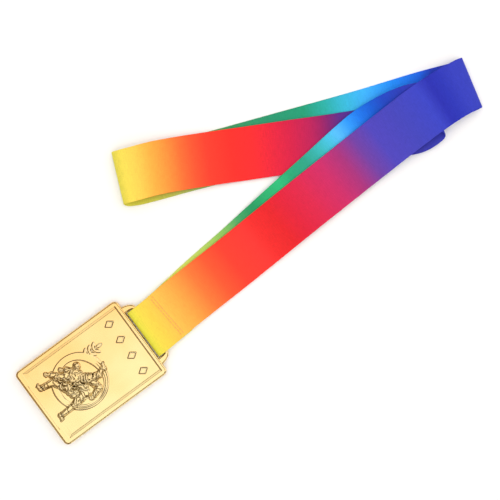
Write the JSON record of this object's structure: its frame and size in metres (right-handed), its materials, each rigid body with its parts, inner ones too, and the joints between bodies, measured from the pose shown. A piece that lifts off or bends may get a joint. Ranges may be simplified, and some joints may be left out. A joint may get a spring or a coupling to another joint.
{
  "type": "sports medal",
  "caption": "Rectangular gold-coloured martial arts medal with relief figures and a bar loop at its top, hanging on a rainbow-graded neck ribbon folded flat.",
  "frame": {"origin": "centre of the medal's flat back face", "axes": "+Y from the medal towards its bail and ribbon, +X to the right as the medal is read, +Z out of the medal's front face"},
  "size_m": [0.1176, 0.3057, 0.0098],
  "materials": {
    "gold": "polished pale gold plate",
    "ribbon": "woven polyester with a rainbow-graded print and a soft sheen",
    "thread": "twisted polyester sewing thread"
  },
  "bodies": {
    "ribbon": {"ribbon_bar_loop": "ribbon", "ribbon_front_run": "ribbon", "ribbon_far_fold": "ribbon", "ribbon_lower_run": "ribbon", "ribbon_side_fold": "ribbon", "ribbon_upper_run": "ribbon", "ribbon_inner_fold": "ribbon", "ribbon_return_run": "ribbon", "needle_thread": "thread", "bobbin_thread": "thread"},
    "medal": {"medal_casting": "gold"}
  },
  "joints": [
    {"name": "medal_swing", "type": "hinge", "parent": "ribbon", "child": "medal", "pos_m": [0, 0.0407, 0.00225], "axis": [1, 0, 0], "range_deg": [-120, 120]}
  ]
}
